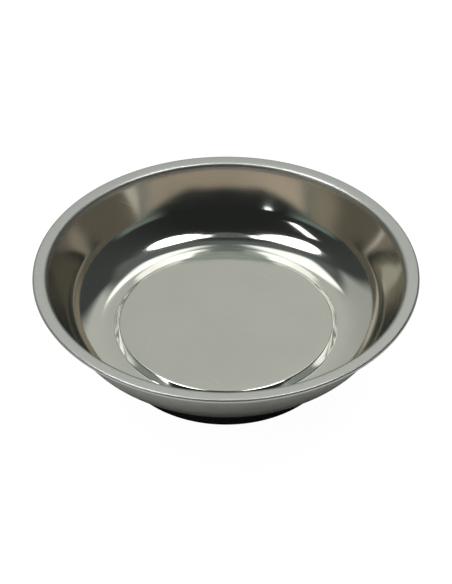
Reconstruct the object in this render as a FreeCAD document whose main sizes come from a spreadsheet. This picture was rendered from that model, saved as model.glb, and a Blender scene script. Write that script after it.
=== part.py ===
# Magnetic parts dish: a round deep-drawn stainless dish on a rubber-booted ring magnet.
# Frame: millimetres, +Z up, Z is the axis of revolution, origin at the centre of the
# resting face of the rubber boot (z = 0 is the surface the dish stands on).
# Every sub-part is a PartDesign body driven by the spreadsheet "Params".
import FreeCAD, Part
import math
import os
import Sketcher

# ---------------------------------------------------------------- driving dimensions
# Alias and value. Names ending in _r, _bore, _hole or _bend are radii.
DIMENSIONS = [
    # dish, heights above the resting face
    ("rim_z", 41.4),            # top of the flat flange
    ("plateau_z", 16.4),        # upper face of the raised centre of the floor
    ("floor_z", 14.4),          # upper face of the lower ring around it
    ("sheet", 0.6),             # sheet thickness
    # dish, radii and bends of the upper surface
    ("step_in", 41.5),          # centre radius of the bend at the top of the step
    ("step_out", 44.3),         # centre radius of the bend at the foot of the step
    ("step_bend", 1.0),         # convex bend at the top of the step
    ("step_foot", 0.8),         # concave bend at the foot of the step
    ("bowl_in", 46.3),          # where the flat ring ends and the bowl curve starts
    ("bowl_bend", 18.4),
    ("wall_bend", 200.0),       # long, nearly straight curve of the wall
    ("lip_in", 71.05),          # centre radius of the bend between wall and flange
    ("lip_bend", 2.0),
    ("rim_r", 75.0),            # outermost radius of the dish
    ("hem_bend", 0.9),          # outside of the hem folded under the flange
    ("hem_end", 72.3),          # where the folded edge stops
    # stud welded under the plateau
    ("stud_r", 3.0),
    ("stud_end", 2.6),          # height of its lower end
    ("stud_tip", 0.8),
    ("weld_r", 5.5),
    ("weld_height", 1.0),
    # steel plate between dish and magnet
    ("plate_r", 39.5),
    ("plate_hole", 6.0),
    ("plate_height", 2.5),
    ("plate_edge", 0.4),
    # ring magnet
    ("magnet_r", 40.0),
    ("magnet_bore", 16.0),
    ("magnet_height", 10.0),
    ("magnet_edge", 0.6),
    # rubber boot
    ("boot_r", 43.3),
    ("boot_gap", 0.1),          # radial clearance to the magnet, outside and in the bore
    ("boot_round", 0.8),
    ("boot_recess", 13.5),      # inside of the cup, open at the resting face
    ("boot_hole", 3.2),
    ("boot_web", 2.0),          # thickness of the cup's top, clamped by the nut
    ("boot_lip_r", 41.2),       # outside of the narrow top edge
    ("boot_shoulder", 14.0),    # height where the outside starts to slope in
    ("boot_top", 15.7),
    # concentric grooves in the resting face
    ("groove_depth", 0.6),
    ("groove_w", 1.6),
    ("groove_r", 21.0),         # middle of the innermost groove
    ("groove_step", 6.0),
    ("groove_count", 3),
    # washer
    ("washer_r", 9.0),
    ("washer_hole", 3.2),
    ("washer_height", 1.6),
    # lock nut
    ("nut_flats", 10.0),        # width across the flats
    ("nut_height", 6.0),
    ("nut_hex", 4.3),           # height of the hexagon
    ("nut_hole", 3.03),
    ("nut_face_inset", 0.15),   # from the flats in to the round end face
    ("nut_corner_drop", 0.9),   # height of the cone cut on the corners
    ("nut_lead_in", 0.4),
    ("nut_collar", 4.75),
    ("collar_overlap", 0.2),    # how far the collar reaches up into the hexagon
    ("collar_round", 0.6),
    # nylon ring in the collar
    ("insert_hole", 3.01),
    ("insert_r", 4.15),
    ("insert_height", 1.5),
    ("insert_edge", 0.25),
    ("insert_lip", 0.3),        # thickness of the crimped lip below the ring
    ("insert_lip_w", 0.45),     # how far the lip reaches in under the ring
]


class Measure:
    """A number together with the spreadsheet formula that gives it."""

    def __init__(self, value, formula=None):
        self.value = value
        self.formula = formula or repr(value)

    def joined(self, symbol, other, value):
        return Measure(value, "(%s %s %s)" % (self.formula, symbol, other.formula))

    def __add__(self, other):
        other = as_measure(other)
        return self.joined("+", other, self.value + other.value)

    def __sub__(self, other):
        other = as_measure(other)
        return self.joined("-", other, self.value - other.value)

    def __mul__(self, other):
        other = as_measure(other)
        return self.joined("*", other, self.value * other.value)

    def __truediv__(self, other):
        other = as_measure(other)
        return self.joined("/", other, self.value / other.value)


def as_measure(number):
    return number if isinstance(number, Measure) else Measure(number)


class Dimensions:
    """One Measure per spreadsheet alias, as attributes."""


doc = FreeCAD.newDocument("parts_dish")
params = doc.addObject("Spreadsheet::Sheet", "Params")
dims = Dimensions()
for row, (alias, value) in enumerate(DIMENSIONS, start=1):
    params.set("A%d" % row, alias)
    params.set("B%d" % row, repr(value))
    params.setAlias("B%d" % row, alias)
    setattr(dims, alias, Measure(value, "Params.%s" % alias))
doc.recompute()

# Heights of the contact faces in the stack, from the dish down to the nut.
under_z = dims.plateau_z - dims.sheet
magnet_top = under_z - dims.plate_height
magnet_bottom = magnet_top - dims.magnet_height
web_bottom = magnet_top - dims.boot_web
nut_top = web_bottom - dims.washer_height
hex_bottom = nut_top - dims.nut_hex
nut_bottom = nut_top - dims.nut_height
insert_bottom = nut_bottom + dims.insert_lip
insert_top = insert_bottom + dims.insert_height

COS_30 = Measure(math.cos(math.radians(30)), "cos(30 deg)")
TAN_30 = Measure(math.tan(math.radians(30)), "tan(30 deg)")
OVERRUN = 1.0           # how far cutting profiles reach past the faces they open
CORNER_OVERRUN = 0.5    # the same, above or below the hexagon
CORNER_REACH = 2.0      # width of the corner cutter beyond its cone

# Sketcher's numbers for the axes and for the points of a piece
ORIGIN = -1
X_AXIS = -1
Z_AXIS = -2
START, END, CENTRE = 1, 2, 3


# ---------------------------------------------------------------- bodies and sketches
def new_body(name):
    body = doc.addObject("PartDesign::Body", name)
    body.Label = name
    return body


def new_sketch(body, name, role="XZ_Plane", height=None):
    """A sketch on an origin plane, moved along its normal to the given height."""
    sketch = body.newObject("Sketcher::SketchObject", name)
    plane = next(item for item in body.Origin.OriginFeatures if item.Role == role)
    sketch.AttachmentSupport = [(plane, "")]
    sketch.MapMode = "FlatFace"
    if height is not None:
        sketch.setExpression("AttachmentOffset.Base.z", height.formula)
    return sketch


def rule(sketch, kind, *where):
    sketch.addConstraint(Sketcher.Constraint(kind, *where))


def dimension(sketch, kind, *where, size):
    """A dimension bound to the formula of its size."""
    index = sketch.addConstraint(Sketcher.Constraint(kind, *where, float(size.value)))
    sketch.setExpression("Constraints[%d]" % index, size.formula)


def add_line(sketch, x0, y0, x1, y1):
    return sketch.addGeometry(
        Part.LineSegment(FreeCAD.Vector(x0, y0, 0), FreeCAD.Vector(x1, y1, 0)), False)


def add_circle(sketch, radius, construction=False):
    """A circle about the origin; its radius is left free."""
    circle = Part.Circle(FreeCAD.Vector(0, 0, 0), FreeCAD.Vector(0, 0, 1), radius)
    index = sketch.addGeometry(circle, construction)
    rule(sketch, "Coincident", index, CENTRE, ORIGIN, START)
    return index


def polygon(body, name, points):
    """A closed half profile of straight lines. points: (radius, height)."""
    sketch = new_sketch(body, name)
    points = [(as_measure(x), as_measure(z)) for x, z in points]
    count = len(points)
    for k in range(count):
        (x0, z0), (x1, z1) = points[k], points[(k + 1) % count]
        add_line(sketch, x0.value, z0.value, x1.value, z1.value)
    for k in range(count):
        rule(sketch, "Coincident", k, END, (k + 1) % count, START)
    for k, (x, z) in enumerate(points):
        for size, kind, axis in ((x, "DistanceX", Z_AXIS), (z, "DistanceY", X_AXIS)):
            if size.value == 0:
                rule(sketch, "PointOnObject", k, START, axis)
            else:
                dimension(sketch, kind, ORIGIN, START, k, START, size=size)
    return sketch


# ---------------------------------------------------------------- features
def turn(body, name, sketch, kind="Revolution"):
    """Turns a profile about Z; kind "Groove" cuts it away."""
    feature = body.newObject("PartDesign::" + kind, name)
    feature.Profile = sketch
    feature.ReferenceAxis = (sketch, ["V_Axis"])
    feature.Angle = 360.0
    body.Tip = feature
    doc.recompute()


def pad_down(body, name, sketch, height):
    feature = body.newObject("PartDesign::Pad", name)
    feature.Profile = sketch
    feature.Reversed = True
    feature.setExpression("Length", height.formula)
    body.Tip = feature
    doc.recompute()


def is_circle(edge, z, radius, tolerance=1e-3):
    curve = edge.Curve
    return (hasattr(curve, "Radius") and abs(curve.Radius - radius) < tolerance
            and abs(curve.Center.z - z) < tolerance and abs(curve.Axis.z) > 0.99)


def dress(body, kind, name, size, circles):
    """Chamfer or fillet on circular edges of the tip. circles: (radius, height)."""
    base = body.Tip
    edges = ["Edge%d" % number
             for radius, z in circles
             for number, edge in enumerate(base.Shape.Edges, start=1)
             if is_circle(edge, z.value, radius.value)]
    if not edges:
        raise RuntimeError("%s: no edges" % name)
    feature = body.newObject("PartDesign::" + kind, name)
    feature.Base = (base, edges)
    feature.setExpression("Size" if kind == "Chamfer" else "Radius", size.formula)
    body.Tip = feature
    doc.recompute()


# ---------------------------------------------------------------- dish
HEM_X = dims.rim_r - dims.hem_bend

# Bends in order from the axis: centre radius, bend radius of the upper surface, and the
# sign with which the thickness changes that radius on the underside.
BENDS = [
    (dims.step_in, dims.step_bend, -1),
    (dims.step_out, dims.step_foot, 1),
    (dims.bowl_in, dims.bowl_bend, 1),
    (dims.lip_in, dims.lip_bend, -1),
    (HEM_X, dims.hem_bend, -1),
]

# Places of pieces in the list that dish_side returns; the bends are pieces 1, 3, 5, 7, 9.
PLATEAU, FLOOR, WALL, FLANGE, FOLD = 0, 4, 6, 8, 10


def on_circle(x, z, radius, degrees):
    angle = math.radians(degrees)
    return x + radius * math.cos(angle), z + radius * math.sin(angle)


def step_angle(top_z, foot_z):
    """Angle of the tangent point on the upper step bend, in degrees.

    The straight part of the step is the inner tangent of its two bends.
    """
    dx = dims.step_out.value - dims.step_in.value
    dz = foot_z - top_z
    radii = dims.step_bend.value + dims.step_foot.value
    return math.degrees(math.atan2(dz, dx) + math.acos(radii / math.hypot(dx, dz)))


def wall_arc(bowl_z, lip_z):
    """Centre and end angles of the long arc that touches the bowl and lip bends."""
    bowl_x, lip_x = dims.bowl_in.value, dims.lip_in.value
    dx, dz = lip_x - bowl_x, lip_z - bowl_z
    distance = math.hypot(dx, dz)
    to_bowl = dims.wall_bend.value - dims.bowl_bend.value
    to_lip = dims.wall_bend.value + dims.lip_bend.value
    along = (to_bowl ** 2 - to_lip ** 2 + distance ** 2) / (2 * distance)
    across = math.sqrt(to_bowl ** 2 - along ** 2)
    x = bowl_x + (along * dx - across * dz) / distance
    z = bowl_z + (along * dz + across * dx) / distance
    low = math.degrees(math.atan2(bowl_z - z, bowl_x - x))
    high = math.degrees(math.atan2(lip_z - z, lip_x - x))
    return x, z, low, high


def dish_side(depth):
    """Pieces of one side from the axis to the folded edge; depth is below the upper face.

    A piece is (start, end) for a line and (start angle, end angle, x, z, radius) for an
    arc. Arcs on the two sides share their centres.
    """
    plateau_z, floor_z, rim_z = dims.plateau_z.value, dims.floor_z.value, dims.rim_z.value
    step_x, foot_x, bowl_x, lip_x, hem_x = [centre.value for centre, _, _ in BENDS]
    step_r, foot_r, bowl_r, lip_r, hem_r = [
        bend.value + sign * depth for _, bend, sign in BENDS]
    step_z = plateau_z - dims.step_bend.value
    foot_z = floor_z + dims.step_foot.value
    bowl_z = floor_z + dims.bowl_bend.value
    lip_z = rim_z - dims.lip_bend.value
    hem_z = rim_z - dims.hem_bend.value
    slope = step_angle(step_z, foot_z)
    wall_x, wall_z, low, high = wall_arc(bowl_z, lip_z)
    return [
        ((0, plateau_z - depth), (step_x, plateau_z - depth)),
        (90, slope, step_x, step_z, step_r),
        (on_circle(step_x, step_z, step_r, slope),
         on_circle(foot_x, foot_z, foot_r, slope + 180)),
        (slope + 180, 270, foot_x, foot_z, foot_r),
        ((foot_x, floor_z - depth), (bowl_x, floor_z - depth)),
        (270, 360 + low, bowl_x, bowl_z, bowl_r),
        (360 + low, 360 + high, wall_x, wall_z, dims.wall_bend.value + depth),
        (180 + high, 90, lip_x, lip_z, lip_r),
        ((lip_x, rim_z - depth), (hem_x, rim_z - depth)),
        (90, -90, hem_x, hem_z, hem_r),
        ((hem_x, hem_z - hem_r), (dims.hem_end.value, hem_z - hem_r)),
    ]


def add_piece(sketch, start, end, *circle):
    """Adds a line or an arc; returns (index, start position, end position)."""
    if not circle:
        return add_line(sketch, *start, *end), START, END
    x, z, radius = circle
    curve = Part.Circle(FreeCAD.Vector(x, z, 0), FreeCAD.Vector(0, 0, 1), radius)
    low, high = math.radians(min(start, end)), math.radians(max(start, end))
    index = sketch.addGeometry(Part.ArcOfCircle(curve, low, high), False)
    # the sketcher's arcs run counterclockwise, so a clockwise one is used backwards
    return (index, START, END) if end > start else (index, END, START)


def make_dish():
    body = new_body("dish")
    sketch = new_sketch(body, "DishProfile")
    upper_side = dish_side(0.0)
    lower_side = dish_side(dims.sheet.value)
    edge_line = (upper_side[FOLD][1], lower_side[FOLD][1])
    axis_line = (lower_side[PLATEAU][0], upper_side[PLATEAU][0])
    # out along the upper surface, back along the underside
    outline = (upper_side + [edge_line]
               + [(end, start, *circle) for start, end, *circle in reversed(lower_side)]
               + [axis_line])
    pieces = [add_piece(sketch, *piece) for piece in outline]

    # every joint is smooth except those at the folded edge and at the axis
    side = len(upper_side)
    corners = (side - 1, side, 2 * side, 2 * side + 1)
    for k, (index, _, end) in enumerate(pieces):
        following, start, _ = pieces[(k + 1) % len(pieces)]
        kind = "Coincident" if k in corners else "Tangent"
        rule(sketch, kind, index, end, following, start)

    indices = [piece[0] for piece in pieces]
    upper = indices[:side]
    edge = indices[side]
    lower = indices[side + 1:-1][::-1]
    axis = indices[-1]
    rule(sketch, "PointOnObject", upper[PLATEAU], START, Z_AXIS)
    rule(sketch, "Vertical", axis)
    for k in (PLATEAU, FLOOR, FLANGE, FOLD):
        rule(sketch, "Horizontal", upper[k])
    rule(sketch, "Vertical", edge)
    for k, height in ((PLATEAU, dims.plateau_z), (FLOOR, dims.floor_z),
                      (FLANGE, dims.rim_z)):
        dimension(sketch, "DistanceY", ORIGIN, START, upper[k], START, size=height)
    for k, (centre, bend, sign) in enumerate(BENDS):
        above, below = upper[2 * k + 1], lower[2 * k + 1]
        under_bend = bend + dims.sheet if sign > 0 else bend - dims.sheet
        dimension(sketch, "DistanceX", ORIGIN, START, above, CENTRE, size=centre)
        dimension(sketch, "Radius", above, size=bend)
        rule(sketch, "Coincident", above, CENTRE, below, CENTRE)
        dimension(sketch, "Radius", below, size=under_bend)
    dimension(sketch, "Radius", upper[WALL], size=dims.wall_bend)
    dimension(sketch, "Radius", lower[WALL], size=dims.wall_bend + dims.sheet)
    dimension(sketch, "DistanceX", ORIGIN, START, upper[FOLD], END, size=dims.hem_end)
    for k in (FOLD, PLATEAU):
        rule(sketch, "Horizontal", lower[k])
    doc.recompute()
    turn(body, "DishDraw", sketch)
    return body


# ---------------------------------------------------------------- parts under the dish
def make_stud():
    """Stud with the round weld at its upper end."""
    body = new_body("weld_stud")
    weld_bottom = under_z - dims.weld_height
    turn(body, "StudTurn", polygon(body, "StudProfile", [
        (0, under_z),
        (dims.weld_r, under_z),
        (dims.weld_r, weld_bottom),
        (dims.stud_r, weld_bottom),
        (dims.stud_r, dims.stud_end),
        (0, dims.stud_end),
    ]))
    dress(body, "Chamfer", "StudTip", dims.stud_tip, [(dims.stud_r, dims.stud_end)])
    return body


def flat_ring(name, profile_name, feature_name, inner, outer, top, bottom):
    """A body with a rectangular ring turned about Z."""
    body = new_body(name)
    turn(body, feature_name, polygon(body, profile_name, [
        (inner, top), (outer, top), (outer, bottom), (inner, bottom)]))
    return body


def make_plate():
    body = flat_ring("pole_plate", "PlateProfile", "PlateBlank",
                     dims.plate_hole, dims.plate_r, under_z, magnet_top)
    dress(body, "Chamfer", "PlateEdge", dims.plate_edge,
          [(dims.plate_r, under_z), (dims.plate_r, magnet_top)])
    return body


def make_magnet():
    body = flat_ring("ring_magnet", "MagnetProfile", "MagnetRing",
                     dims.magnet_bore, dims.magnet_r, magnet_top, magnet_bottom)
    dress(body, "Chamfer", "MagnetEdges", dims.magnet_edge,
          [(radius, z) for z in (magnet_top, magnet_bottom)
           for radius in (dims.magnet_r, dims.magnet_bore)])
    return body


def make_boot():
    """Moulded cup: the outer wall wraps the magnet, the inner cup stands in its bore
    and its top is clamped between the washer and the steel plate."""
    body = new_body("rubber_boot")
    cavity = dims.magnet_r + dims.boot_gap
    neck = dims.magnet_bore - dims.boot_gap
    turn(body, "BootMould", polygon(body, "BootProfile", [
        (dims.boot_recess, 0),
        (dims.boot_r, 0),
        (dims.boot_r, dims.boot_shoulder),
        (dims.boot_lip_r, dims.boot_top),
        (cavity, dims.boot_top),
        (cavity, magnet_bottom),
        (neck, magnet_bottom),
        (neck, magnet_top),
        (dims.boot_hole, magnet_top),
        (dims.boot_hole, web_bottom),
        (dims.boot_recess, web_bottom),
    ]))
    resting = Measure(0.0)
    dress(body, "Fillet", "BootFoot", dims.boot_round, [(dims.boot_r, resting)])
    dress(body, "Fillet", "BootMouth", dims.boot_round, [(dims.boot_recess, resting)])
    half = dims.groove_w / 2
    for k in range(dims.groove_count.value):
        middle = dims.groove_r + dims.groove_step * k
        sketch = polygon(body, "GripGroove%d" % (k + 1), [
            (middle - half, -OVERRUN),
            (middle + half, -OVERRUN),
            (middle + half, dims.groove_depth),
            (middle - half, dims.groove_depth),
        ])
        turn(body, "GripCut%d" % (k + 1), sketch, "Groove")
    return body


def make_washer():
    body = flat_ring("washer", "WasherProfile", "WasherBlank",
                     dims.washer_hole, dims.washer_r, web_bottom, nut_top)
    dress(body, "Fillet", "WasherEdge", dims.washer_height * 0.25,
          [(dims.washer_r, nut_top)])
    return body


# ---------------------------------------------------------------- lock nut
def hexagon(body, name, height):
    """A hexagon across nut_flats with a corner on +X, held by a construction circle."""
    sketch = new_sketch(body, name, "XY_Plane", height)
    corner_r = dims.nut_flats / 2 / COS_30
    corners = [on_circle(0, 0, corner_r.value, 60 * k) for k in range(7)]
    for k in range(6):
        add_line(sketch, *corners[k], *corners[k + 1])
    for k in range(6):
        rule(sketch, "Coincident", k, END, (k + 1) % 6, START)
    guide = add_circle(sketch, corner_r.value, construction=True)
    for k in range(6):
        rule(sketch, "PointOnObject", k, START, guide)
    for k in range(1, 6):
        rule(sketch, "Equal", 0, k)
    rule(sketch, "PointOnObject", 0, START, X_AXIS)
    dimension(sketch, "Radius", guide, size=corner_r)
    return sketch


def cut_corners(body, profile_name, cut_name, face, beyond, within):
    """Turns the corners of the hexagon to a 30 degree cone at one end face.

    beyond is a height outside the hexagon, within the height where the cone ends.
    """
    face_r = dims.nut_flats / 2 - dims.nut_face_inset
    cone_r = face_r + dims.nut_corner_drop / TAN_30
    outer = cone_r + CORNER_REACH
    sketch = polygon(body, profile_name, [
        (face_r, beyond), (outer, beyond), (outer, within), (cone_r, within),
        (face_r, face)])
    turn(body, cut_name, sketch, "Groove")


def make_nut():
    """Hexagon with a round crimped collar that holds the nylon ring."""
    body = new_body("lock_nut")
    pad_down(body, "NutPrism", hexagon(body, "NutHex", nut_top), dims.nut_hex)
    cut_corners(body, "NutTurn", "NutCornersUpper", nut_top,
                nut_top + CORNER_OVERRUN, nut_top - dims.nut_corner_drop)
    cut_corners(body, "NutTurnLow", "NutCornersLower", hex_bottom,
                hex_bottom - CORNER_OVERRUN, hex_bottom + dims.nut_corner_drop)

    sketch = new_sketch(body, "NutCollar", "XY_Plane", hex_bottom + dims.collar_overlap)
    circle = add_circle(sketch, dims.nut_collar.value)
    dimension(sketch, "Radius", circle, size=dims.nut_collar)
    pad_down(body, "NutCollarPad", sketch,
             dims.nut_height - dims.nut_hex + dims.collar_overlap)
    dress(body, "Fillet", "NutCrimp", dims.collar_round, [(dims.nut_collar, nut_bottom)])

    # thread bore, seat of the nylon ring and the crimped lip that keeps it in
    lip_r = dims.insert_r - dims.insert_lip_w
    sketch = polygon(body, "NutBore", [
        (0, nut_top + OVERRUN),
        (dims.nut_hole, nut_top + OVERRUN),
        (dims.nut_hole, insert_top),
        (dims.insert_r, insert_top),
        (dims.insert_r, insert_bottom),
        (lip_r, insert_bottom),
        (lip_r, nut_bottom - OVERRUN),
        (0, nut_bottom - OVERRUN),
    ])
    turn(body, "NutBoreCut", sketch, "Groove")
    dress(body, "Chamfer", "NutLeadIn", dims.nut_lead_in, [(dims.nut_hole, nut_top)])
    return body


def make_insert():
    """Nylon ring of the nut."""
    body = flat_ring("nut_insert", "InsertProfile", "InsertRing",
                     dims.insert_hole, dims.insert_r, insert_top, insert_bottom)
    dress(body, "Chamfer", "InsertEdge", dims.insert_edge,
          [(dims.insert_hole, insert_bottom)])
    return body


# ---------------------------------------------------------------- build and write
bodies = [make_dish(), make_stud(), make_plate(), make_magnet(),
          make_boot(), make_washer(), make_nut(), make_insert()]
doc.recompute()
for item in doc.Objects:
    if "Invalid" in item.State or "Error" in item.State:
        raise RuntimeError("%s: %s" % (item.Name, item.State))
os.makedirs("parts", exist_ok=True)
for body in bodies:
    shape = body.Shape
    if shape.isNull() or not shape.isValid() or len(shape.Solids) != 1:
        raise RuntimeError(body.Label)
    shape.exportStep("parts/%s.step" % body.Label)
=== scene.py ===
"""Magnetic parts dish: a spun steel bowl on a rubber boot, with a threaded stud on its axis.

The parts are turned round Z. The floor is z = 0 and the camera looks from -Y, so +X is
on its right. Sections are (radius, z) points in millimetres; materials work in metres.
"""
import math
from functools import cached_property

import bmesh
import bpy
import numpy as np
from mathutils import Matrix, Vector


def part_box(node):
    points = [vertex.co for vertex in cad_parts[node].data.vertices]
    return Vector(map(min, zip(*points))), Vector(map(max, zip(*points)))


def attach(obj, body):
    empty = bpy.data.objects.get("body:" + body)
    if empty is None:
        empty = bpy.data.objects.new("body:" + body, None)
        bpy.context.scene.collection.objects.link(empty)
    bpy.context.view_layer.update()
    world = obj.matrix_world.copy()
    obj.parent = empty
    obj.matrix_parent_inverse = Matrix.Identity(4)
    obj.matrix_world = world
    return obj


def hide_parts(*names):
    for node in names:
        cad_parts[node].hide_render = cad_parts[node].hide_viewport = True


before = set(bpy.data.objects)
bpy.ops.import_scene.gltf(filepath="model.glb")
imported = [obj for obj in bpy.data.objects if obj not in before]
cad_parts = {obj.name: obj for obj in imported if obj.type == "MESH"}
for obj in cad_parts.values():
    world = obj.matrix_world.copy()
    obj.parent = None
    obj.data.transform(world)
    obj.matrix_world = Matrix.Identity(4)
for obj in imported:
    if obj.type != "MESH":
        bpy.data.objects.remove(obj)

scene = bpy.context.scene
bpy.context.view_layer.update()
MM = 0.001


# ------------------------------------------------------------------ node helpers
class Val:
    """A number in a node tree, with Python's operators."""

    def __init__(self, graph, socket):
        self.graph, self.socket = graph, socket

    def _op(self, operation, *others):
        node = self.graph.node("ShaderNodeMath", self, *others, props={"operation": operation})
        return Val(self.graph, node.outputs[0])

    def __add__(self, other): return self._op("ADD", other)
    def __radd__(self, other): return self._op("ADD", other)
    def __sub__(self, other): return self._op("SUBTRACT", other)
    def __rsub__(self, other): return self.graph.num(other)._op("SUBTRACT", self)
    def __mul__(self, other): return self._op("MULTIPLY", other)
    def __truediv__(self, other): return self._op("DIVIDE", other)
    def sqrt(self): return self._op("SQRT")
    def abs(self): return self._op("ABSOLUTE")
    def max(self, other): return self._op("MAXIMUM", other)
    def min(self, other): return self._op("MINIMUM", other)
    def asin(self): return self._op("ARCSINE")
    def atan2(self, other): return self._op("ARCTAN2", other)

    def step(self, zero_at, one_at):
        """Smooth ramp from 0 at zero_at to 1 at one_at, which may be the lower of the two."""
        node = self.graph.node("ShaderNodeMapRange", Value=self,
                               From_Min=zero_at, From_Max=one_at,
                               props={"interpolation_type": "SMOOTHSTEP", "clamp": True})
        return Val(self.graph, node.outputs["Result"])

    def band(self, low, high, soft):
        """1 between low and high, 0 outside; soft is half the width of each edge."""
        return self.step(low - soft, low + soft) * self.step(high + soft, high - soft)


class Graph:
    """Builds a node tree from scratch."""

    def __init__(self, tree):
        self.tree = tree
        tree.nodes.clear()

    def put(self, socket, x):
        """Links or sets an input; colours are given as RGB."""
        if isinstance(x, Val):
            self.tree.links.new(x.socket, socket)
        elif isinstance(x, bpy.types.NodeSocket):
            self.tree.links.new(x, socket)
        else:
            socket.default_value = (*x, 1.0) if socket.type == "RGBA" else x

    def node(self, kind, *by_index, props=None, **by_name):
        """A node with its inputs given by position or by name, with _ for a space."""
        node = self.tree.nodes.new(kind)
        for key, x in (props or {}).items():
            setattr(node, key, x)
        for i, x in enumerate(by_index):
            self.put(node.inputs[i], x)
        for key, x in by_name.items():
            self.put(node.inputs[key.replace("_", " ")], x)
        return node

    def num(self, x):
        node = self.node("ShaderNodeValue")
        node.outputs[0].default_value = x
        return Val(self, node.outputs[0])

    def xyz(self, socket):
        node = self.node("ShaderNodeSeparateXYZ", Vector=socket)
        return [Val(self, node.outputs[i]) for i in range(3)]

    def vec(self, x, y, z):
        return self.node("ShaderNodeCombineXYZ", x, y, z).outputs[0]

    def grey(self, x):
        return self.node("ShaderNodeCombineColor", x, x, x).outputs[0]

    def noise(self, vector, seed, scale=1.0, detail=2.0, rough=0.5):
        node = self.node("ShaderNodeTexNoise", props={"noise_dimensions": "4D"}, Vector=vector,
                         W=seed, Scale=scale, Detail=detail, Roughness=rough)
        return Val(self, node.outputs[0])

    def mix(self, factor, a, b):
        """Colour a where factor is 0, b where it is 1."""
        node = self.node("ShaderNodeMix", props={"data_type": "RGBA", "clamp_factor": True})
        self.put(node.inputs["Factor"], factor)
        for socket, x in zip([s for s in node.inputs if s.type == "RGBA"], (a, b)):
            self.put(socket, x)
        return [s for s in node.outputs if s.type == "RGBA"][0]

    def mix_shader(self, factor, a, b):
        return self.node("ShaderNodeMixShader", factor, a.outputs[0], b.outputs[0])

    def camera_ray(self):
        return self.node("ShaderNodeLightPath").outputs["Is Camera Ray"]

    def bumps(self, *layers):
        """Stacks bump layers of (height, strength, distance in metres)."""
        normal = None
        for height, strength, distance in layers:
            node = self.node("ShaderNodeBump", Strength=strength, Distance=distance,
                             Height=height)
            if normal is not None:
                self.put(node.inputs["Normal"], normal)
            normal = node.outputs["Normal"]
        return normal


class Material(Graph):
    """The node tree of a new material, with the place of a surface point in metres."""

    def __init__(self, name):
        self.material = bpy.data.materials.new(name)
        self.material.use_nodes = True
        super().__init__(self.material.node_tree)
        self.pos = self.node("ShaderNodeTexCoord").outputs["Object"]
        self.x, self.y, self.z = self.xyz(self.pos)

    @cached_property
    def radius(self):
        return (self.x * self.x + self.y * self.y).sqrt().max(1e-6)

    @cached_property
    def unit_x(self):
        return self.x / self.radius

    @cached_property
    def unit_y(self):
        return self.y / self.radius

    @cached_property
    def run(self):
        """Roughly the distance along the section."""
        return self.radius + self.z

    def rings(self, around, along, path=None, **noise):
        """Noise drawn out into circles: its frequency round the axis and along the path."""
        path = path or self.run
        return self.noise(self.vec(self.unit_x * around, self.unit_y * around, path * along),
                          **noise)

    def tangent(self):
        """Tangent round Z, for brushed highlights."""
        props = {"direction_type": "RADIAL", "axis": "Z"}
        return self.node("ShaderNodeTangent", props=props).outputs[0]

    def finish(self, shader):
        self.node("ShaderNodeOutputMaterial", Surface=shader.outputs[0])
        return self.material

    def principled(self, **inputs):
        return self.finish(self.node("ShaderNodeBsdfPrincipled", **inputs))


# ------------------------------------------------------------------ materials
def steel_inside():
    """Polished bowl with faint circular draw lines; the flat rim is satin."""
    mat = Material("dish_polished")
    off_axis = mat.radius.step(0.0010, 0.0070)    # the draw lines die out at the axis
    on_rim = mat.radius.step(0.0684, 0.0692)
    fine = mat.rings(2.0, 2600.0, detail=3.0, rough=0.6, seed=1.0) * off_axis
    broad = mat.rings(1.2, 420.0, seed=2.0) * off_axis
    smear = mat.noise(mat.pos, scale=38.0, detail=4.0, rough=0.6, seed=3.0)
    wavy = mat.rings(2.2, 30.0, detail=1.0, seed=4.0) * off_axis

    def hairlines(angle, seed):
        """Thin scratches that run at an angle (radians) from X."""
        cos, sin = math.cos(angle), math.sin(angle)
        length, width = mat.x * cos + mat.y * sin, mat.y * cos - mat.x * sin
        place = mat.vec(length * 26.0, width * 900.0, mat.z * 26.0)
        return mat.noise(place, rough=0.55, seed=seed).step(0.68, 0.76)

    scratches = hairlines(0.35, seed=10.0)
    scratches = scratches.max(hairlines(1.42, seed=11.0))
    scratches = scratches.max(hairlines(2.35, seed=12.0))
    rough_bowl = 0.052 + smear * 0.04 + broad * 0.02 + scratches * 0.06
    rough_rim = 0.30 + fine * 0.10 + smear * 0.05
    tint = mat.mix(smear.step(0.3, 0.75), (0.735, 0.737, 0.685), (0.70, 0.706, 0.66))
    tint = mat.mix(on_rim, tint, (0.592, 0.602, 0.575))
    tint = mat.mix(scratches * 0.25, tint, (0.80, 0.80, 0.78))
    return mat.principled(
        Base_Color=tint, Metallic=1.0,
        Roughness=rough_bowl + (rough_rim - rough_bowl) * on_rim,
        Anisotropic=off_axis * 0.20 - on_rim * 0.08, Tangent=mat.tangent(),
        Normal=mat.bumps((wavy, 0.5, 0.00012), (fine, 0.15, 0.000012),
                         (scratches, 0.10, 0.000008)))


def steel_outside():
    """Satin outside of the same sheet."""
    mat = Material("dish_satin")
    fine = mat.rings(2.5, 2200.0, detail=3.0, rough=0.65, seed=21.0)
    broad = mat.rings(1.5, 380.0, seed=22.0)
    smear = mat.noise(mat.pos, scale=45.0, detail=4.0, rough=0.6, seed=23.0)
    return mat.principled(
        Base_Color=mat.mix(smear.step(0.3, 0.75), (0.685, 0.708, 0.68), (0.63, 0.652, 0.626)),
        Metallic=1.0, Roughness=0.27 + fine * 0.10 + broad * 0.05 + smear * 0.06,
        Anisotropic=0.5, Tangent=mat.tangent(),
        Normal=mat.bumps((broad, 0.4, 0.00003), (fine, 0.3, 0.000015)))


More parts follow.
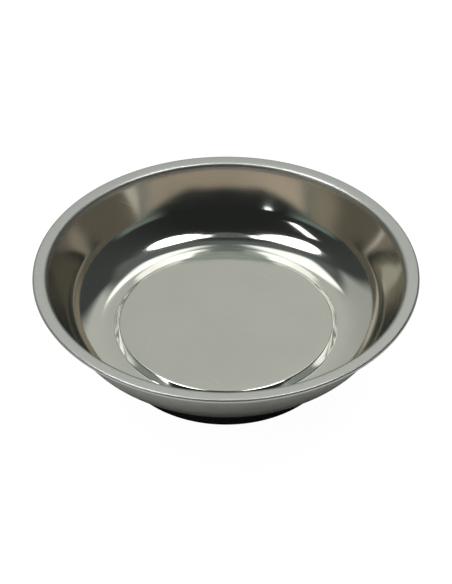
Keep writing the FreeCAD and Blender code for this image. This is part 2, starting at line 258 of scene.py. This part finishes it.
def rubber():
    """Black rubber, worn in patches and greyer at the foot."""
    mat = Material("boot_rubber")
    grain = mat.noise(mat.pos, scale=5200.0, detail=3.0, rough=0.6, seed=31.0)
    cloud = mat.noise(mat.pos, scale=70.0, detail=4.0, rough=0.6, seed=32.0)
    scuff = mat.rings(5.0, 900.0, seed=33.0).step(0.6, 0.75)
    foot = mat.z.step(0.0012, 0.0)
    worn = cloud.step(0.45, 0.8)
    tint = mat.mix(worn, (0.010, 0.010, 0.011), (0.022, 0.022, 0.022))
    tint = mat.mix(foot * 0.5 * cloud, tint, (0.06, 0.058, 0.055))
    return mat.principled(
        Base_Color=tint, Roughness=0.52 + cloud * 0.16 + foot * 0.12 - scuff * 0.06,
        Normal=mat.bumps((grain, 0.35, 0.00003), (scuff, 0.2, 0.00002)))


def zinc(name, seed, tint_a, tint_b, base_rough):
    """Zinc plating, cloudy between two tints, with fine turning lines."""
    mat = Material(name)
    grain = mat.noise(mat.pos, scale=2600.0, detail=3.0, rough=0.6, seed=seed)
    cloud = mat.noise(mat.pos, scale=260.0, detail=3.0, rough=0.6, seed=seed + 1)
    lines = mat.rings(3.0, 3200.0, seed=seed + 2)
    return mat.principled(
        Base_Color=mat.mix(cloud.step(0.3, 0.7), tint_a, tint_b),
        Metallic=1.0, Roughness=base_rough + cloud * 0.14 + grain * 0.06,
        Normal=mat.bumps((grain, 0.25, 0.00001), (lines, 0.2, 0.00001)))


def ferrite():
    """Dark ground ceramic with pits and straight grinding lines along X."""
    mat = Material("ferrite_ground")
    grain = mat.noise(mat.pos, scale=3000.0, detail=4.0, rough=0.7, seed=51.0)
    pits = mat.noise(mat.pos, scale=900.0, seed=52.0).step(0.68, 0.76)
    lines = mat.noise(mat.vec(mat.x * 40.0, mat.y * 2500.0, mat.z * 400.0), seed=53.0)
    return mat.principled(
        Base_Color=mat.mix(grain, (0.035, 0.035, 0.038), (0.075, 0.075, 0.08)),
        Roughness=0.5 + grain * 0.2 + pits * 0.2,
        Normal=mat.bumps((pits, 0.4, -0.00004), (lines, 0.3, 0.00002)))


def nylon():
    """Blue nylon with faint rings."""
    mat = Material("nylon_blue")
    cloud = mat.noise(mat.pos, scale=500.0, detail=3.0, seed=61.0)
    rings = mat.rings(2.0, 6000.0, path=mat.radius, detail=1.0, seed=62.0)
    return mat.principled(
        Base_Color=mat.mix(cloud, (0.035, 0.12, 0.38), (0.06, 0.18, 0.50)),
        Roughness=0.38 + cloud * 0.15, Normal=mat.bumps((rings, 0.25, 0.00002)))


POLISHED, SATIN = steel_inside(), steel_outside()
RUBBER = rubber()
ZINC = zinc("zinc_bright", seed=41.0, tint_a=(0.62, 0.64, 0.66), tint_b=(0.54, 0.56, 0.57),
            base_rough=0.24)
ZINC_PLATE = zinc("zinc_plate", seed=45.0, tint_a=(0.58, 0.60, 0.62),
                  tint_b=(0.48, 0.50, 0.52), base_rough=0.30)
FERRITE, NYLON = ferrite(), nylon()


# ------------------------------------------------------------------ section and mesh helpers
def arc(centre_r, centre_z, radius, start, end, n):
    """n + 1 points of an arc between two angles in degrees."""
    angles = [math.radians(start + (end - start) * k / n) for k in range(n + 1)]
    return [(centre_r + radius * math.cos(a), centre_z + radius * math.sin(a)) for a in angles]


def line(a, b, n):
    return [(a[0] + (b[0] - a[0]) * k / n, a[1] + (b[1] - a[1]) * k / n) for k in range(n + 1)]


def chain(*runs):
    """Joins (tag, points) runs and drops repeated points; the later tag wins."""
    points, tags = [], []
    for tag, run in runs:
        for p in run:
            if points and math.hypot(p[0] - points[-1][0], p[1] - points[-1][1]) < 1e-6:
                tags[-1] = tag
                continue
            points.append(p)
            tags.append(tag)
    return points, tags


def add_ring(verts, radii, z):
    """Adds a ring with one vertex for each radius; returns the vertex indices."""
    first, segs = len(verts), len(radii)
    for k, radius in enumerate(radii):
        turn = 2 * math.pi * k / segs
        verts.append((radius * MM * math.cos(turn), radius * MM * math.sin(turn), z * MM))
    return list(range(first, first + segs))


def new_mesh(name, verts, faces, materials):
    mesh = bpy.data.meshes.new(name)
    mesh.from_pydata(verts, [], faces)
    for material in materials:
        mesh.materials.append(material)
    return mesh


def smooth_object(name, mesh):
    mesh.polygons.foreach_set("use_smooth", [True] * len(mesh.polygons))
    obj = bpy.data.objects.new(name, mesh)
    scene.collection.objects.link(obj)
    return obj


def lathe(name, points, tags, segs, materials):
    """Turns a closed section round Z.

    tags gives the material index of the band that starts at each point.
    """
    verts, rings = [], []
    for radius, z in points:
        if radius < 1e-9:
            rings.append([len(verts)] * segs)
            verts.append((0.0, 0.0, z * MM))
        else:
            rings.append(add_ring(verts, [radius] * segs, z))
    faces, face_tags = [], []
    for i, tag in enumerate(tags):
        following = (i + 1) % len(points)
        if points[i][0] < 1e-9 and points[following][0] < 1e-9:
            continue
        a, b = rings[i], rings[following]
        for k in range(segs):
            j = (k + 1) % segs
            # a quad, or a triangle where a ring is a single point
            faces.append(list(dict.fromkeys((a[k], a[j], b[j], b[k]))))
            face_tags.append(tag)
    mesh = new_mesh(name, verts, faces, materials)
    mesh.polygons.foreach_set("material_index", face_tags)
    mesh.validate()
    bm = bmesh.new()
    bm.from_mesh(mesh)
    bmesh.ops.recalc_face_normals(bm, faces=bm.faces)
    if bm.calc_volume() < 0:
        bmesh.ops.reverse_faces(bm, faces=bm.faces)
    bm.to_mesh(mesh)
    bm.free()
    return smooth_object(name, mesh)


def sharpen(obj, degrees):
    """Marks edges over an angle as sharp."""
    bm = bmesh.new()
    bm.from_mesh(obj.data)
    limit = math.radians(degrees)
    for edge in bm.edges:
        if len(edge.link_faces) == 2 and edge.calc_face_angle() > limit:
            edge.smooth = False
    bm.to_mesh(obj.data)
    bm.free()


def register(obj, part):
    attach(obj, "root")
    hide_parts(part)


# ------------------------------------------------------------------ dish
# Heights come from the CAD sheet's box. The middle is a raised plateau; outside it the
# sheet steps down to the floor, then rises through bowl, wall and lip to a rolled hem.
dish_lo, dish_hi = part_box("dish")
RIM = dish_hi.z / MM
THICK = 0.6
FLOOR = dish_lo.z / MM + THICK
PLATEAU = FLOOR + 2.0
RIM_RADIUS = 75.0
HEM_END = 72.3                                   # radius where the rolled hem stops
# bend radii, on the upper face of the sheet
STEP_TOP_BEND, STEP_FOOT_BEND, BOWL_BEND, WALL_BEND, LIP_BEND, HEM_BEND = (
    1.0, 0.8, 18.4, 200.0, 2.0, 0.9)
# (radius, z) of the bend centres
STEP_TOP = (41.5, PLATEAU - STEP_TOP_BEND)
STEP_FOOT = (44.3, FLOOR + STEP_FOOT_BEND)
BOWL = (46.3, FLOOR + BOWL_BEND)
LIP = (71.05, RIM - LIP_BEND)
HEM = (RIM_RADIUS - HEM_BEND, RIM - HEM_BEND)

# angle at which a straight line is tangent to both bends of the step
width, height = STEP_FOOT[0] - STEP_TOP[0], STEP_FOOT[1] - STEP_TOP[1]
STEP_ANGLE = math.degrees(
    math.atan2(height, width)
    + math.acos((STEP_TOP_BEND + STEP_FOOT_BEND) / math.hypot(width, height)))

# the wall is a long arc, tangent to the bowl curve and to the lip bend
width, height = LIP[0] - BOWL[0], LIP[1] - BOWL[1]
span = math.hypot(width, height)
along = ((WALL_BEND - BOWL_BEND) ** 2 - (WALL_BEND + LIP_BEND) ** 2 + span ** 2) / (2 * span)
across = math.sqrt((WALL_BEND - BOWL_BEND) ** 2 - along ** 2)
WALL = (BOWL[0] + (along * width - across * height) / span,
        BOWL[1] + (along * height + across * width) / span)
WALL_START = math.degrees(math.atan2(BOWL[1] - WALL[1], BOWL[0] - WALL[0]))
WALL_END = math.degrees(math.atan2(LIP[1] - WALL[1], LIP[0] - WALL[0]))


def sheet_face(offset):
    """One face of the sheet from the axis outwards; offset is 0 (upper) or -THICK."""
    step_top = arc(*STEP_TOP, STEP_TOP_BEND + offset, 90, STEP_ANGLE, 10)
    step_foot = arc(*STEP_FOOT, STEP_FOOT_BEND - offset, STEP_ANGLE + 180, 270, 10)
    bowl = arc(*BOWL, BOWL_BEND - offset, 270, 360 + WALL_START, 32)
    wall = arc(*WALL, WALL_BEND - offset, WALL_START, WALL_END, 14)
    lip = arc(*LIP, LIP_BEND + offset, 180 + WALL_END, 90, 14)
    hem = arc(*HEM, HEM_BEND + offset, 90, -90, 18)
    return [
        line((0, PLATEAU + offset), step_top[0], 6), step_top,
        line(step_top[-1], step_foot[0], 3), step_foot,
        line(step_foot[-1], bowl[0], 3), bowl,
        wall, lip,
        line(lip[-1], hem[0], 3), hem,
        line(hem[-1], (HEM_END, hem[-1][1]), 2)]


def build_dish():
    upper = sheet_face(0.0)
    lower = [run[::-1] for run in reversed(sheet_face(-THICK))]
    edge_r, upper_z = upper[-1][-1]
    lower_z = lower[0][0][1]
    hem_edge = arc(edge_r, (upper_z + lower_z) / 2, abs(lower_z - upper_z) / 2, 270, 90, 6)
    points, tags = chain(*[(0, run) for run in upper], (1, hem_edge),
                         *[(1, run) for run in lower])
    dish = lathe("dish_shell", points, tags, 420, (POLISHED, SATIN))
    register(dish, "dish")


build_dish()

# ------------------------------------------------------------------ rubber boot
BOOT_RADIUS = 43.3
BORE = 13.5                                      # radius of the opening underneath
FIRST_GROOVE, GROOVE_SPACING, GROOVE_COUNT = 21.0, 6.0, 3
GROOVE_HALF, GROOVE_DEPTH, GROOVE_FILLET = 0.8, 0.6, 0.2


def fillet(before, corner, after, radius, n):
    """Points of a round corner."""
    a = np.array(before, float) - corner
    b = np.array(after, float) - corner
    a /= np.linalg.norm(a)
    b /= np.linalg.norm(b)
    half = math.acos(float(np.clip(a @ b, -1, 1))) / 2
    setback = radius / math.tan(half)
    centre = np.array(corner) + (a + b) / np.linalg.norm(a + b) * (radius / math.sin(half))
    start, end = np.array(corner) + a * setback, np.array(corner) + b * setback
    turn0 = math.atan2(*(start - centre)[::-1])
    turn1 = math.atan2(*(end - centre)[::-1])
    while turn1 - turn0 > math.pi:
        turn1 -= 2 * math.pi
    while turn1 - turn0 < -math.pi:
        turn1 += 2 * math.pi
    return [(float(x), float(z)) for x, z in
            arc(*centre, radius, math.degrees(turn0), math.degrees(turn1), n)]


def rounded_section(corners):
    """Closed section through (radius, z, fillet radius) corners."""
    points = []
    for i, (radius, z, bend) in enumerate(corners):
        before, after = corners[i - 1][:2], corners[(i + 1) % len(corners)][:2]
        points += fillet(before, (radius, z), after, bend, 5 if bend < 0.5 else 9)
    return points


def build_boot():
    # (radius, z, fillet radius): the foot outwards, up the outside, back over the inside
    corners = [(BORE, 0, 0.8)]
    for k in range(GROOVE_COUNT):
        middle = FIRST_GROOVE + GROOVE_SPACING * k
        inner, outer = middle - GROOVE_HALF, middle + GROOVE_HALF
        corners += [(radius, z, GROOVE_FILLET) for radius, z in (
            (inner, 0), (inner, GROOVE_DEPTH), (outer, GROOVE_DEPTH), (outer, 0))]
    corners += [
        (BOOT_RADIUS, 0, 0.8), (BOOT_RADIUS, 14.0, 0.5), (41.2, 15.7, 0.3),
        (40.1, 15.7, 0.25), (40.1, 3.3, 0.3), (15.9, 3.3, 0.3), (15.9, 13.3, 0.3),
        (3.2, 13.3, 0.15), (3.2, 11.3, 0.15), (BORE, 11.3, 0.5)]
    points = rounded_section(corners)
    boot = lathe("boot_moulding", points, [0] * len(points), 256, (RUBBER,))
    sharpen(boot, 50)
    register(boot, "rubber_boot")


build_boot()

# ------------------------------------------------------------------ stud
# A weld flange on top of an M6 x 1 threaded shank
stud_lo, stud_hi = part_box("weld_stud")
STUD_END, STUD_TOP = stud_lo.z / MM, stud_hi.z / MM
SHANK, TIP = 3.0, 2.2                            # radii; the tip is a 45 degree cone
PITCH, THREAD_DEPTH = 1.0, 0.54
ROOT_SHARE, FLANK_SHARE = 0.16, 0.72             # of the pitch: groove bottom, both flanks
RUN_OUT, FADE = 2.4, 1.0                         # plain length below the top, fade below it
FLANGE, FLANGE_THICK, FLANGE_CHAMFER = 5.5, 1.0, 0.15
STUD_SEGS, ROWS_PER_PITCH = 72, 16


def thread_radius(z, turn):
    """Radius of the shank at height z and angle turn (0 to 1)."""
    phase = (z / PITCH - turn) % 1.0
    from_root = (abs(phase - 0.5) * 2.0 - ROOT_SHARE) / FLANK_SHARE
    cut = 1.0 - min(1.0, max(0.0, from_root))
    fade = min(1.0, max(0.0, (STUD_TOP - RUN_OUT - z) / FADE))
    return min(SHANK - THREAD_DEPTH * cut * fade, TIP + (z - STUD_END))


def build_stud():
    shank_length = STUD_TOP - FLANGE_THICK - STUD_END
    rows = int(round(shank_length / (PITCH / ROWS_PER_PITCH)))
    verts, rings = [(0.0, 0.0, STUD_END * MM)], []
    for i in range(rows + 1):
        z = STUD_END + shank_length * i / rows
        radii = [thread_radius(z, k / STUD_SEGS) for k in range(STUD_SEGS)]
        rings.append(add_ring(verts, radii, z))
    for radius, z in ((FLANGE - FLANGE_CHAMFER, STUD_TOP - FLANGE_THICK),
                      (FLANGE, STUD_TOP - FLANGE_THICK + FLANGE_CHAMFER),
                      (FLANGE, STUD_TOP)):
        rings.append(add_ring(verts, [radius] * STUD_SEGS, z))
    top = len(verts)
    verts.append((0.0, 0.0, STUD_TOP * MM))

    pairs = [(k, (k + 1) % STUD_SEGS) for k in range(STUD_SEGS)]
    faces = [[a[k], a[j], b[j], b[k]] for a, b in zip(rings, rings[1:]) for k, j in pairs]
    for k, j in pairs:
        faces.append([0, rings[0][j], rings[0][k]])
        faces.append([top, rings[-1][k], rings[-1][j]])
    mesh = new_mesh("stud_threaded", verts, faces, (ZINC,))
    mesh.validate()
    stud = smooth_object("stud_threaded", mesh)
    sharpen(stud, 32)
    register(stud, "weld_stud")


build_stud()

# CAD pieces that keep their shape
for part, material in (("pole_plate", ZINC_PLATE), ("ring_magnet", FERRITE),
                       ("washer", ZINC), ("lock_nut", ZINC), ("nut_insert", NYLON)):
    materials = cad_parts[part].data.materials
    materials.clear()
    materials.append(material)


# ------------------------------------------------------------------ floor
def floor_paper():
    """White to the camera; to the product, painted shade beneath it and a faint ring of
    painted light.
    """
    mat = Material("floor_paper")
    paper = mat.noise(mat.pos, scale=900.0, detail=3.0, seed=71.0)
    away = (mat.x * mat.x + mat.y * mat.y).sqrt()
    white = mat.node("ShaderNodeBsdfDiffuse",
                     Color=mat.mix(paper, (0.80, 0.80, 0.80), (0.83, 0.83, 0.83)))
    glow = mat.node("ShaderNodeEmission", Color=(1, 1, 1), Strength=1.22)
    to_camera = mat.mix_shader(0.80, white, glow)
    # painted shade: to rays from the product the floor is grey 0.27 under the dish, rising to
    # 0.79 from 50 to 80 mm out
    painted_shade_paper = mat.node("ShaderNodeBsdfDiffuse",
                      Color=mat.grey(0.27 + away.step(0.050, 0.080) * 0.52))
    # painted light: a faint emitting ring from 66 to 170 mm out, seen only by rays from the
    # product
    painted_light_ring = mat.node("ShaderNodeEmission", Color=(0.97, 1.0, 0.965),
                        Strength=away.step(0.066, 0.080) * away.step(0.17, 0.10) * 0.25)
    to_product = mat.node("ShaderNodeAddShader", painted_shade_paper.outputs[0], painted_light_ring.outputs[0])
    return mat.finish(mat.mix_shader(mat.camera_ray(), to_product, to_camera))


bpy.ops.mesh.primitive_circle_add(vertices=128, radius=12.0, fill_type="TRIFAN",
                                  location=(0, 0, 0))
floor = bpy.context.object
floor.name = "floor"
floor.data.materials.append(floor_paper())


# ------------------------------------------------------------------ studio surroundings
def build_world():
    """Soft boxes overhead, a grey card behind the dish and a dark, slightly warm room.

    Bands and steps on elev and side are in degrees. Those on right and back are places
    on a ceiling plane one unit above the dish, towards +X and away from the camera.
    """
    world = bpy.data.worlds.new("studio")
    scene.world = world
    world.use_nodes = True
    graph = Graph(world.node_tree)
    coords = graph.node("ShaderNodeTexCoord")
    x, y, z = graph.xyz(coords.outputs["Generated"])
    degree = 180 / math.pi
    elev = z.max(-0.999).min(0.999).asin() * degree    # above the horizon
    side = x.atan2(y) * degree                         # 0 behind the dish, 180 at the camera
    aside = side.abs()
    rise = z.max(0.02)
    right, back = x / rise, y / rise
    above = z.step(0.0, 0.1)

    def ellipse(centre_right, centre_back, half_right, half_back):
        p, q = (right - centre_right) / half_right, (back - centre_back) / half_back
        return (p * p + q * q).sqrt().step(1.08, 0.92)

    # two round soft boxes with a bar between them, and a dark gap straight above
    gap = right.band(-0.15, 0.10, soft=0.03)
    bar = (right.band(-0.60, 0.42, soft=0.04) * back.band(-0.025, 0.085, soft=0.02)
           * (1.0 - gap))
    boxes = bar.max(ellipse(-0.50, 0.0, 0.29, 0.19)).max(ellipse(0.325, 0.035, 0.19, 0.175))

    # slanted bar on the left, on the camera's side
    cos, sin = math.cos(math.radians(74)), math.sin(math.radians(74))
    arm_length = (right + 1.22) * (-cos) + (back + 0.75) * (-sin)
    arm_width = (right + 1.22) * sin + (back + 0.75) * (-cos)
    arm = arm_length.band(-0.40, 0.48, soft=0.04) * arm_width.band(-0.11, 0.11, soft=0.03)

    # skewed panel behind, with a notch in its far edge
    notch = right.band(-0.05, 0.045, soft=0.02) * back.step(0.92, 0.84)
    rear = (right.band(-0.35, 0.24, soft=0.05)
            * (back - right.max(-0.25) * 0.33).band(0.53, 0.98, soft=0.04) * (1.0 - notch))

    # patches of the room
    card = elev.band(13, 47, soft=4) * side.band(-58, 34, soft=7)
    haze = elev.band(50, 74, soft=3) * side.band(-55, 62, soft=9)
    warm = (elev - aside.step(155, 172) * 0.9).step(7.2, 6.3) * aside.step(45, 95)
    teal = elev.band(8, 17, soft=2.5) * aside.band(104, 134, soft=8)
    spot = elev.band(10.7, 13.6, soft=0.8) * side.band(-154.3, -150.0, soft=0.9)

    # deeper bounces, where the walls of the dish show each other, are a little browner
    depth = Val(graph, graph.node("ShaderNodeLightPath").outputs["Ray Depth"])
    third = depth.step(3.2, 3.8) * side.step(-5, 5) * side.step(179, 150)
    twice = depth.step(2.2, 2.8)
    brown = twice * elev.band(18, 46, soft=4) * aside.step(70, 100)
    brown_right = elev.step(32, 38) * side.step(80, 110) * side.step(160, 125) * 0.17
    brown_left = side.step(-80, -95) * side.step(-130, -112) * 0.09
    warm_left = side.step(0, -40) * side.step(-179, -145) * 0.10
    zenith_slot = right.band(-0.09, 0.08, soft=0.03) * back.step(-0.12, -0.06)

    # each patch times its brightness
    light = 0.022 + aside.step(150, 60) * elev.step(84, 74) * 0.04
    light = light + gap * elev.step(80, 85) * 0.10
    light = light + card * (0.36 + side.step(-50, 20) * 0.14)
    light = light + warm * (0.34 + warm_left)
    light = light + teal * 0.17
    light = light + haze * (0.08 + twice * 0.23)
    light = light + rear * 1.3 * above
    light = light + brown * (0.14 + brown_right + brown_left) * (1.0 - third * 0.65)
    light = light + twice * elev.step(70, 77) * (0.48 - zenith_slot * 0.36)
    lamps = (boxes * 6.5 * (1.0 - twice * 0.75)).max(arm * 3.0 * (1.0 - twice * 0.84))
    lamps = lamps * above + spot * 3.0
    light = light + lamps

    colour = graph.mix(card, (0.90, 1.0, 0.97), (0.985, 1.0, 0.94))
    colour = graph.mix(warm, colour, (1.0, 0.83, 0.64))
    colour = graph.mix(brown, colour, (1.0, 0.88, 0.72))
    colour = graph.mix(teal, colour, (0.80, 1.0, 0.90))
    colour = graph.mix(lamps.min(1.0).max(rear * above), colour, (1.0, 1.0, 1.0))
    scaled = graph.node("ShaderNodeVectorMath", colour, props={"operation": "SCALE"},
                        Scale=light)
    room = graph.node("ShaderNodeBackground", Color=scaled.outputs[0], Strength=1.0)
    backdrop = graph.node("ShaderNodeBackground", Color=(1.0, 1.0, 1.0), Strength=1.0)
    shader = graph.mix_shader(graph.camera_ray(), room, backdrop)
    graph.node("ShaderNodeOutputWorld", Surface=shader.outputs[0])


build_world()

# ------------------------------------------------------------------ camera
ELEVATION = math.radians(39.6)
DISTANCE = 1.0
AIM_BELOW_RIM = 0.0105

camera = bpy.data.cameras.new("camera")
camera.lens = 158.0
camera.sensor_width = 36.0
camera.clip_start, camera.clip_end = 0.05, 50.0
camera_object = bpy.data.objects.new("camera", camera)
scene.collection.objects.link(camera_object)
aim = Vector((0, 0, RIM * MM)) - Vector((0, 0, AIM_BELOW_RIM))
towards_camera = Vector((0, -math.cos(ELEVATION), math.sin(ELEVATION)))
camera_object.location = aim + towards_camera * DISTANCE
camera_object.rotation_mode = "QUATERNION"
camera_object.rotation_quaternion = (aim - camera_object.location).to_track_quat("-Z", "Y")
scene.camera = camera_object

scene.view_settings.view_transform = "Standard"
scene.view_settings.look = "None"
scene.cycles.max_bounces = 16
scene.cycles.glossy_bounces = 12
scene.cycles.diffuse_bounces = 4
